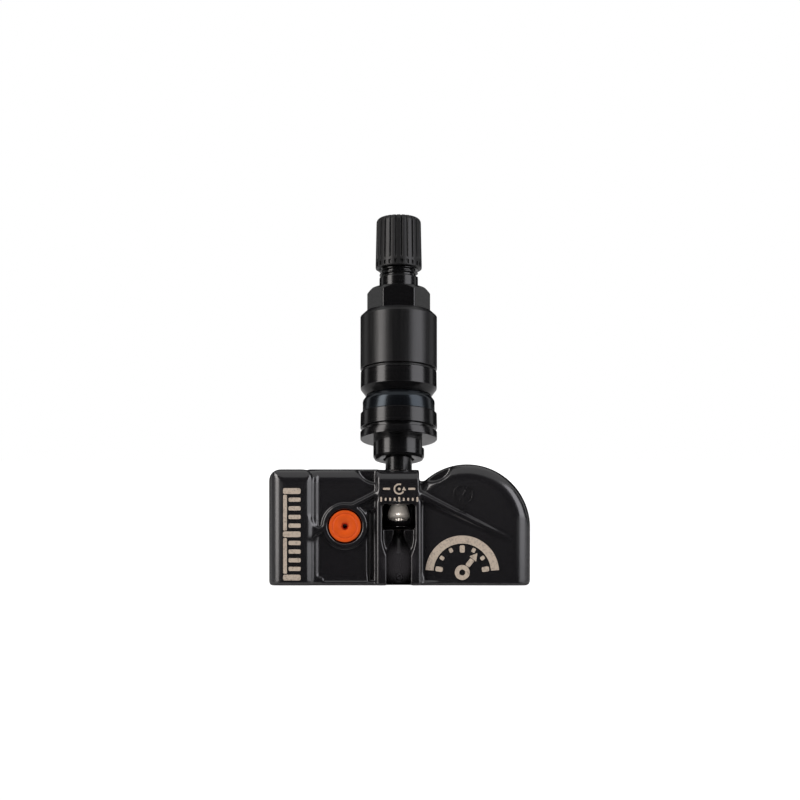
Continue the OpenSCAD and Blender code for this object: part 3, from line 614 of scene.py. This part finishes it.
# Flecks and thin places where the ink is worn or didn't take on the grain
worn_flecks, flecks_in, flecks_out = new_group(
    "worn_flecks",
    {"Vector": ("NodeSocketVector", None), "Size": ("NodeSocketFloat", 2600.0),
     "Amount": ("NodeSocketFloat", 0.5)}, ["Mask"])
fleck_noise = add_node(worn_flecks, "ShaderNodeTexNoise", Detail=4.0, Roughness=0.65)
worn_flecks.links.new(flecks_in.outputs["Vector"], fleck_noise.inputs["Vector"])
worn_flecks.links.new(flecks_in.outputs["Size"], fleck_noise.inputs["Scale"])
fleck_edge = add_node(worn_flecks, "ShaderNodeMapRange", From_Min=0.66)
worn_flecks.links.new(fleck_noise.outputs["Fac"], fleck_edge.inputs["Value"])
worn_flecks.links.new(flecks_in.outputs["Amount"], fleck_edge.inputs["From Max"])
worn_flecks.links.new(fleck_edge.outputs["Result"], flecks_out.inputs["Mask"])


def two_tones(tree, factor, first, second, shader):
    """Colours a shader between two tones, by the value that a socket gives."""
    mix = add_node(tree, "ShaderNodeMix", data_type="RGBA")
    mix.inputs[6].default_value = first
    mix.inputs[7].default_value = second
    tree.links.new(factor, mix.inputs[0])
    tree.links.new(mix.outputs[2], shader.inputs["Base Color"])


beige_ink, ink_shader = moulded("beige_ink", ink_colour, roughness=0.55, bump=0.3)
tree = beige_ink.node_tree
ink_place = add_node(tree, "ShaderNodeTexCoord")
ink_flecks = add_node(tree, "ShaderNodeGroup", node_tree=worn_flecks)
tree.links.new(ink_place.outputs["Object"], ink_flecks.inputs["Vector"])
two_tones(tree, ink_flecks.outputs["Mask"], ink_thin_colour, ink_colour, ink_shader)

for print_piece in (scale_print, gauge_print, arrow_print):
    print_piece.data.materials.append(beige_ink)
    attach(print_piece, "sensor")
date_clock.data.materials.append(housing_plastic)
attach(date_clock, "sensor")

# Port plug
# A round orange silicone plug, pressed into the boss over the pressure port. Its face has a raised rim,
# a shallow groove and a pinhole that lets the air through.
plug_x = -10.7
plug_z = 11.8
orange = (0.85, 0.105, 0.006, 1)
orange_deep = (0.60, 0.055, 0.003, 1)


def round_edges(piece, width, angle=30, segments=2):
    """Rounds the edges that are sharper than the angle, and shades the piece smooth."""
    apply_modifier(piece, "BEVEL", width=width * mm, segments=segments, limit_method="ANGLE",
                   angle_limit=radians(angle))
    only(piece)
    bpy.ops.object.shade_smooth_by_angle(angle=radians(40))
    apply_modifier(piece, "WEIGHTED_NORMAL", keep_sharp=True)


plug = turned("port_plug", [
    (1.75, 3.6), (2.8, 3.6), (2.8, 6.2), (3.2, 6.2), (3.2, 7.25), (3.08, 7.37), (2.62, 7.37),
    (2.52, 7.27), (2.38, 7.27), (2.28, 7.37), (1.35, 7.37), (1.2, 7.3), (0.75, 7.24), (0.75, 6.2),
    (0.45, 6.2), (0.45, 3.9), (1.75, 3.9), (1.75, 3.6)], sides=96)
set_in_place(plug, (plug_x, 0, plug_z), (radians(90), 0, 0))
round_edges(plug, 0.05)

orange_silicone, plug_shader = moulded("orange_silicone", orange, roughness=0.42, grain_scale=1500.0,
                                       bump=0.15, patches=0.1)
tree = orange_silicone.node_tree
plug_place = add_node(tree, "ShaderNodeTexCoord")
plug_clouds = add_node(tree, "ShaderNodeTexNoise", Scale=420.0, Detail=2.0)
tree.links.new(plug_place.outputs["Object"], plug_clouds.inputs["Vector"])
plug_tint = add_node(tree, "ShaderNodeMapRange", From_Min=0.45, From_Max=0.75, To_Max=0.35)
tree.links.new(plug_clouds.outputs["Fac"], plug_tint.inputs["Value"])
two_tones(tree, plug_tint.outputs["Result"], orange, orange_deep, plug_shader)
plug_shader.inputs["Specular IOR Level"].default_value = 0.3
plug.data.materials.append(orange_silicone)
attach(plug, "sensor")
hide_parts("port_insert")

# Electronics and potting
# The circuit board with its chip, coil, crystal and capacitor, the battery cell with its two tabs, the
# membrane over the chip's port, and the dark resin that is poured in from behind over all of them.


def finish_node(node, material):
    """Gives a CAD node that stays as it is its procedural material."""
    nodes[node].material_slots[0].material = material


def patchy(name, colour, second_colour, roughness, metallic=0.0, patch_size=700.0, grain_scale=3200.0,
           bump=0.1):
    """A material of two near tones in small patches, over a fine skin."""
    material, shader = moulded(name, colour, roughness, grain_scale, bump)
    tree = material.node_tree
    place = add_node(tree, "ShaderNodeTexCoord")
    tone = add_node(tree, "ShaderNodeTexNoise", Scale=patch_size, Detail=3.0)
    tree.links.new(place.outputs["Object"], tone.inputs["Vector"])
    two_tones(tree, tone.outputs["Fac"], colour, second_colour, shader)
    shader.inputs["Metallic"].default_value = metallic
    return material


finish_node("port_membrane", patchy("membrane_white", (0.75, 0.75, 0.73, 1), (0.62, 0.62, 0.6, 1), 0.7))
finish_node("potting", patchy("potting_resin", (0.012, 0.013, 0.016, 1), (0.022, 0.023, 0.027, 1), 0.22,
                              patch_size=260.0, grain_scale=500.0, bump=0.35))
finish_node("circuit_board", patchy("board_green", (0.01, 0.09, 0.03, 1), (0.014, 0.12, 0.045, 1), 0.35))
finish_node("sensor_chip", patchy("chip_black", (0.02, 0.02, 0.021, 1), (0.03, 0.03, 0.03, 1), 0.55))
finish_node("antenna_coil", patchy("coil_copper", (0.55, 0.2, 0.07, 1), (0.38, 0.12, 0.04, 1), 0.3, 1.0))
tin_plate = patchy("tin_plate", (0.62, 0.61, 0.58, 1), (0.5, 0.49, 0.47, 1), 0.28, 1.0)
for node in ("crystal", "battery_cell", "battery_tab_plus", "battery_tab_minus"):
    finish_node(node, tin_plate)
finish_node("capacitor", patchy("capacitor_tan", (0.5, 0.33, 0.1, 1), (0.42, 0.26, 0.08, 1), 0.4))

# Retaining screw
# A bright steel screw with a domed six-lobed head, driven up through the bridge into the valve's foot.
swivel_z = 9.2
valve_lean = radians(13)
socket_sides = 96
ring_depth = 0.01
steel = (0.74, 0.70, 0.65, 1)
steel_dark = (0.52, 0.48, 0.44, 1)


def on_valve(piece):
    """Sets a piece that was turned about Z, with heights counted from the swivel axis, on the valve."""
    set_in_place(piece, (0, 0, swivel_z), (-valve_lean, 0, 0))


def arc_points(centre_r, centre_s, radius, start, end, steps):
    """Points of (radius, height) along an arc, for a turned outline."""
    angles = [radians(start + (end - start) * i / steps) for i in range(steps + 1)]
    return [(centre_r + radius * cos(a), centre_s + radius * sin(a)) for a in angles]


def lobe_step(x, y):
    """Steps from the middle of the nearest of the socket's six lobes, 0 to 8."""
    return round(abs((degrees(atan2(y, x)) + 30) % 60 - 30) * socket_sides / 360)


screw = turned("retaining_screw_looks", [(0, 3.95), (1.55, 3.95)]
               + arc_points(1.4, 4.75, 0.82, -77, 0, 6)
               + [(2.2, 5.05), (1.72, 6.6), (1.5, 6.73), (1.5, 18.4), (1.2, 18.7), (0, 18.7)], sides=96)

# The six-lobed socket is a round one, drawn in between the lobes step by step
lobe_shape = (1.0, 0.985, 0.94, 0.885, 0.845, 0.81, 0.79, 0.78, 0.775)
socket = turned("socket", [(0, 3.0), (1.2, 3.0), (1.2, 5.4), (0, 5.6)], sides=socket_sides)
for step, factor in enumerate(lobe_shape):
    pick_vertices(socket, lambda x, y, z: lobe_step(x, y) == step)
    bpy.ops.transform.resize(value=(factor, factor, 1), center_override=(0, 0, 0))
    bpy.ops.object.mode_set(mode="OBJECT")
cut_away(screw, socket)
on_valve(screw)
round_edges(screw, 0.06)

# What the lathe leaves: rings, a height that changes only up the valve and outwards from its axis, with a
# share of streaks that run up the valve
turned_rings, rings_in, rings_out = new_group(
    "turned_rings", {"Rings": ("NodeSocketFloat", 3.0), "Streaks": ("NodeSocketFloat", 0.0)}, ["Height"])
ring_place = add_node(turned_rings, "ShaderNodeTexCoord")
upright = add_node(turned_rings, "ShaderNodeMapping", Rotation=(valve_lean, 0, 0),
                   Location=(0, sin(valve_lean) * swivel_z * mm, -cos(valve_lean) * swivel_z * mm))
turned_rings.links.new(ring_place.outputs["Object"], upright.inputs["Vector"])
apart = add_node(turned_rings, "ShaderNodeSeparateXYZ")
turned_rings.links.new(upright.outputs["Vector"], apart.inputs["Vector"])
flat = add_node(turned_rings, "ShaderNodeCombineXYZ")
turned_rings.links.new(apart.outputs["X"], flat.inputs["X"])
turned_rings.links.new(apart.outputs["Y"], flat.inputs["Y"])
out_from_axis = add_node(turned_rings, "ShaderNodeVectorMath", operation="LENGTH")
turned_rings.links.new(flat.outputs["Vector"], out_from_axis.inputs[0])
along = add_node(turned_rings, "ShaderNodeMath", operation="ADD")
turned_rings.links.new(apart.outputs["Z"], along.inputs[0])
turned_rings.links.new(out_from_axis.outputs["Value"], along.inputs[1])
in_millimetres = add_node(turned_rings, "ShaderNodeMath", operation="MULTIPLY")
in_millimetres.inputs[1].default_value = 1 / mm
turned_rings.links.new(along.outputs[0], in_millimetres.inputs[0])
ring_noise = add_node(turned_rings, "ShaderNodeTexNoise", noise_dimensions="1D", Detail=4.0, Roughness=0.6)
turned_rings.links.new(in_millimetres.outputs[0], ring_noise.inputs["W"])
turned_rings.links.new(rings_in.outputs["Rings"], ring_noise.inputs["Scale"])
stretched = add_node(turned_rings, "ShaderNodeMapping", Scale=(1, 1, 0.04))
turned_rings.links.new(upright.outputs["Vector"], stretched.inputs["Vector"])
streak_noise = add_node(turned_rings, "ShaderNodeTexNoise", Scale=2200.0, Detail=3.0)
turned_rings.links.new(stretched.outputs["Vector"], streak_noise.inputs["Vector"])
share = add_node(turned_rings, "ShaderNodeMix", data_type="FLOAT")
turned_rings.links.new(rings_in.outputs["Streaks"], share.inputs[0])
turned_rings.links.new(ring_noise.outputs["Fac"], share.inputs[2])
turned_rings.links.new(streak_noise.outputs["Fac"], share.inputs[3])
turned_rings.links.new(share.outputs[0], rings_out.inputs["Height"])


def machined(name, colour, second_colour, roughness, metallic, rings=3.0, streaks=0.0, bump=0.3,
             spread=0.14):
    """A turned metal: rings or streaks in its relief, its gloss and, faintly, its colour."""
    material = new_material(name)
    tree = material.node_tree
    marks = add_node(tree, "ShaderNodeGroup", node_tree=turned_rings)
    marks.inputs["Rings"].default_value = rings
    marks.inputs["Streaks"].default_value = streaks
    relief = add_node(tree, "ShaderNodeBump", Strength=bump, Distance=ring_depth * mm)
    tree.links.new(marks.outputs["Height"], relief.inputs["Height"])
    gloss = add_node(tree, "ShaderNodeMapRange", From_Min=0.3, From_Max=0.7,
                     To_Min=roughness - spread / 2, To_Max=roughness + spread / 2)
    tree.links.new(marks.outputs["Height"], gloss.inputs["Value"])
    shader = add_node(tree, "ShaderNodeBsdfPrincipled", Metallic=metallic)
    two_tones(tree, marks.outputs["Height"], colour, second_colour, shader)
    tree.links.new(gloss.outputs["Result"], shader.inputs["Roughness"])
    tree.links.new(relief.outputs["Normal"], shader.inputs["Normal"])
    out = add_node(tree, "ShaderNodeOutputMaterial")
    tree.links.new(shader.outputs[0], out.inputs["Surface"])
    return material


screw.data.materials.append(machined("screw_steel", steel, steel_dark, 0.42, 0.5, rings=5.0))
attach(screw, "valve")
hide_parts("retaining_screw")

# Valve stem
# Turned from one bar of aluminium and anodised black: a thin foot on the bridge, a thick neck with a flat
# and a cross hole, a grooved flange, and the threaded stem with its bore for the valve core.
thread_pitch = 0.794
thread_start = 53.6
thread_end = 63.0
thread_root = 3.42
thread_crest = 3.85
thread_bite = 0.06
ridge_width = 0.9 * thread_pitch
crest_share = 0.16
saddle_radius = 13.85
anodised_black = (0.0035, 0.0035, 0.0039, 1)
anodised_grey = (0.0075, 0.0073, 0.0078, 1)

stem = turned("valve_stem_looks", [
    (1.52, 12.8), (2.65, 12.8), (2.65, 16.75), (3.1, 16.75), (3.1, 16.25), (4.75, 16.25), (5.06, 16.75),
    (5.06, 20.3), (7.55, 20.3), (7.65, 20.4), (7.65, 21.75), (7.55, 21.85), (6.8, 21.85), (6.8, 22.55),
    (7.55, 22.55), (7.65, 22.65), (7.6, 25.5), (7.4, 25.7), (4.3, 25.7), (4.3, 33.1),
    (thread_crest, 33.5), (thread_crest, 53.3), (3.78, 53.45), (thread_root, 53.65), (thread_root, 62.9),
    (3.3, 63.4), (2.6, 63.4), (2.6, 57.2), (2.2, 57.2), (2.2, 53.5), (1.2, 52.7), (1.2, 19.5),
    (1.52, 19.1), (1.52, 12.8)], sides=160)

# The neck gets its flat and cross hole, and the foot's underside is hollowed to lie on the round bridge
flat_cutter = box("flat_cutter", (4.68, -6, 18.3), (5.68, 6, 20.3))
round_edges(flat_cutter, 0.12, segments=3)
cut_away(stem, flat_cutter)
cross_hole = turned("cross_hole", [(0, 0), (0.55, 0), (0.55, 9), (0, 9)], sides=32)
set_in_place(cross_hole, (0, 0, 19.55), (0, radians(90), 0))
cut_away(stem, cross_hole)
saddle = turned("saddle", [(0, -9), (saddle_radius, -9), (saddle_radius, 9), (0, 9)], sides=256)
set_in_place(saddle, (0, 0, 0), (0, radians(90), 0))
cut_away(stem, saddle)
round_edges(stem, 0.09)

# The thread's ridge has a narrow crest and a wide root that is let into the stem, and runs up it in a helix
bpy.ops.object.select_all(action="DESELECT")
bpy.ops.mesh.primitive_plane_add(size=ridge_width * mm, rotation=(radians(90), 0, 0),
                                 location=((thread_crest - ridge_width / 2) * mm, 0, thread_start * mm))
thread = bpy.context.object
thread.name = "stem_thread"
bpy.ops.object.transform_apply(location=True, rotation=True, scale=True)
pick_vertices(thread, lambda x, y, z: x > thread_root)
bpy.ops.transform.resize(value=(1, 1, crest_share), center_override=(0, 0, thread_start * mm))
pick_vertices(thread, lambda x, y, z: x < thread_root)
bpy.ops.transform.translate(value=((thread_root - thread_bite - thread_crest + ridge_width) * mm, 0, 0))
bpy.ops.mesh.select_all(action="SELECT")
bpy.ops.mesh.delete(type="ONLY_FACE")
bpy.ops.object.mode_set(mode="OBJECT")
apply_modifier(thread, "SCREW", axis="Z", angle=radians(360), screw_offset=thread_pitch * mm,
               iterations=int((thread_end - thread_start) / thread_pitch), steps=64, render_steps=64,
               use_merge_vertices=False, use_smooth_shade=True)
only(thread)
bpy.ops.object.mode_set(mode="EDIT")
bpy.ops.mesh.select_all(action="SELECT")
bpy.ops.mesh.fill_holes(sides=4)
bpy.ops.mesh.normals_make_consistent(inside=False)
bpy.ops.object.mode_set(mode="OBJECT")
bpy.ops.object.shade_smooth_by_angle(angle=radians(30))
join([stem, thread])
on_valve(stem)

black_anodised = machined("black_anodised", anodised_black, anodised_grey, 0.2, 0.0, rings=3.2, bump=0.2,
                          spread=0.1)
stem.data.materials.append(black_anodised)
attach(stem, "valve")
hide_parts("valve_stem")

# Grommet
# The moulded rubber seal on the flange. Its neck fills the valve hole of the wheel's rim.
grommet = turned("grommet_looks", [
    (4.32, 25.7), (7.2, 25.7), (7.16, 27.2), (7.2, 27.8), (7.1, 28.2), (6.5, 29.05), (6.4, 29.2),
    (5.65, 29.2), (5.65, 33.1), (4.32, 33.1), (4.32, 25.7)], sides=144)
round_edges(grommet, 0.08, segments=3)
on_valve(grommet)
grommet_rubber, rubber_shader = moulded("grommet_rubber", (0.0045, 0.0052, 0.0064, 1), roughness=0.22,
                                        grain_scale=1800.0, bump=0.06)
rubber_shader.inputs["Specular Tint"].default_value = (0.75, 0.88, 1.0, 1)
grommet.data.materials.append(grommet_rubber)
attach(grommet, "valve")
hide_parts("grommet")

# Clamp ring
# An anodised aluminium ring with a tapered lower edge, which presses the wheel's rim onto the grommet.
ring = turned("clamp_ring_looks", [
    (5.75, 29.23), (6.55, 29.23), (7.5, 30.5), (7.6, 30.65), (7.57, 34.05), (7.45, 34.2), (4.45, 34.2),
    (4.45, 33.2), (5.75, 33.2), (5.75, 29.23)], sides=160)
round_edges(ring, 0.09)
on_valve(ring)
ring.data.materials.append(black_anodised)
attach(ring, "ring")
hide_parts("clamp_ring")

# Union nut
# One anodised aluminium nut: a long round collar, finely blasted, a conical shoulder, and a hexagon whose
# corners are chamfered at the top.
hex_flats = 11.05
hex_low = 46.1
hex_top = 51.05
hex_corner_radius = 6.32
hex_top_radius = 5.5
nut_bore = 3.9

nut = turned("union_nut_looks", [
    (nut_bore, 34.2), (6.9, 34.2), (6.9, 34.62), (7.57, 34.62), (7.65, 34.7), (7.65, 45.4), (7.57, 45.5),
    (6.55, 46.45), (nut_bore, 46.45), (nut_bore, 34.2)], sides=160)
round_edges(nut, 0.1)

bpy.ops.object.select_all(action="DESELECT")
bpy.ops.mesh.primitive_cylinder_add(vertices=6, radius=hex_flats / sqrt(3) * mm,
                                    depth=(hex_top - hex_low) * mm, rotation=(0, 0, radians(30)),
                                    location=(0, 0, (hex_low + hex_top) / 2 * mm))
hexagon = bpy.context.object
bpy.ops.object.transform_apply(location=True, rotation=True, scale=True)
pick_edges(hexagon, lambda a, b: abs(a.z - b.z) > 1)
bpy.ops.mesh.bevel(offset=0.32 * mm, segments=4, affect="EDGES")
bpy.ops.object.mode_set(mode="OBJECT")
chamfer = turned("chamfer", [(0, hex_low - 1), (hex_corner_radius, hex_low - 1),
                             (hex_corner_radius, hex_top - 0.9), (hex_top_radius, hex_top), (0, hex_top)],
                 sides=160)
apply_modifier(hexagon, "BOOLEAN", object=chamfer, operation="INTERSECT", solver="EXACT")
bpy.data.objects.remove(chamfer)
bore = turned("bore", [(0, hex_low - 1), (nut_bore, hex_low - 1), (nut_bore, hex_top - 0.5),
                       (4.45, hex_top + 0.05), (4.45, hex_top + 1), (0, hex_top + 1)])
cut_away(hexagon, bore)
round_edges(hexagon, 0.07)
blasted_anodised = machined("blasted_anodised", anodised_black, anodised_grey, 0.33, 0.0, streaks=0.8,
                            bump=0.2, spread=0.1)
nut.data.materials.append(blasted_anodised)
hexagon.data.materials.append(black_anodised)
join([nut, hexagon])
on_valve(nut)
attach(nut, "nut")
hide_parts("union_nut")

# Valve cap
# Moulded in black plastic: 24 flutes that run over the edge of the domed top, and a band with a ring of
# small notches at the open end.
flutes = 24
steps_per_flute = 12
cap_low = 55.2
cap_band = 56.75
cap_top = 65.9
cap_radius = 4.62
cap_top_radius = 4.45
cap_side = 7.5
cap_taper = 0.15
side_steps = 8
cap_edge = 1.2
cap_bore = 3.9
cap_roof = 1.3


def flute_step(x, y):
    """Steps from the middle of the nearest rib, 0 to 6, of the steps that make up a rib and its groove."""
    step = 360 / flutes / steps_per_flute
    turn = degrees(atan2(y, x)) % (360 / flutes)
    return round(min(turn, 360 / flutes - turn) / step)


cap_outline = [(cap_bore, cap_low), (4.35, cap_low), (4.56, cap_low + 0.12), (cap_radius, cap_low + 0.3),
               (cap_radius, cap_low + 0.36), (cap_radius, cap_band - 0.35),
               (cap_radius - 0.01, cap_band - 0.1), (cap_radius - 0.015, cap_band + 0.15),
               (cap_radius - 0.02, cap_band + 0.4)]
cap_outline += [(cap_radius - 0.02 - cap_taper * i / side_steps, cap_band + 0.4 + cap_side * i / side_steps)
                for i in range(1, side_steps + 1)]
cap_outline += [(cap_top_radius - cap_edge + cap_edge * cos(radians(angle)),
                 cap_top - cap_edge + 1.1 * sin(radians(angle))) for angle in (8, 22, 38, 54, 70, 90)]
cap_outline += [(2.4, cap_top - 0.05), (1.6, cap_top - 0.02), (0.9, cap_top), (0, cap_top),
                (0, cap_top - cap_roof), (cap_bore, cap_top - cap_roof), (cap_bore, cap_low)]
cap = turned("valve_cap_looks", cap_outline, sides=flutes * steps_per_flute)

# The round side is drawn in to make the grooves, deepest in their middle, and their ends fall with it
for step, depth in ((6, 0.3), (5, 0.14)):
    factor = 1 - depth / cap_radius
    pick_vertices(cap, lambda x, y, z: z > cap_band + 0.2 and hypot(x, y) > 4.0 and flute_step(x, y) == step)
    bpy.ops.transform.resize(value=(factor, factor, 1), center_override=(0, 0, 0))
    pick_vertices(cap, lambda x, y, z: z > cap_top - 0.9 and 1.5 < hypot(x, y) < 4.25 - depth
                  and flute_step(x, y) == step)
    bpy.ops.transform.translate(value=(0, 0, -0.62 * depth * mm))
    bpy.ops.object.mode_set(mode="OBJECT")

# Below each groove a small notch is pressed into the band
pick_faces(cap, lambda x, y, z: cap_low + 0.4 < z < cap_band - 0.4 and hypot(x, y) > 4.3
           and flute_step(x, y) >= 4)
bpy.ops.mesh.extrude_region_move(TRANSFORM_OT_translate={"value": (0, 0, 0)})
bpy.ops.transform.resize(value=(0.93, 0.93, 1), center_override=(0, 0, 0))
bpy.ops.object.mode_set(mode="OBJECT")

round_edges(cap, 0.05, angle=42)
on_valve(cap)
cap_plastic, _ = moulded("cap_plastic", (0.007, 0.007, 0.0074, 1), roughness=0.42, grain_scale=3600.0,
                         bump=0.12)
cap.data.materials.append(cap_plastic)
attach(cap, "cap")
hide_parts("valve_cap")

# Cap seal and valve core
# The rubber disc inside the cap, and the spring-loaded brass core that is screwed into the stem's bore.
finish_node("cap_seal", patchy("seal_rubber", (0.03, 0.03, 0.031, 1), (0.045, 0.045, 0.046, 1), 0.5))
core_brass = machined("core_brass", (0.72, 0.5, 0.18, 1), (0.55, 0.36, 0.12, 1), 0.26, 1.0, rings=5.0)
for node in ("core_barrel", "core_pin"):
    finish_node(node, core_brass)
finish_node("core_seal", patchy("core_seal_white", (0.7, 0.7, 0.68, 1), (0.6, 0.6, 0.58, 1), 0.5))
finish_node("core_cup", patchy("core_cup_rubber", (0.03, 0.03, 0.031, 1), (0.045, 0.045, 0.046, 1), 0.5))
finish_node("core_spring", tin_plate)
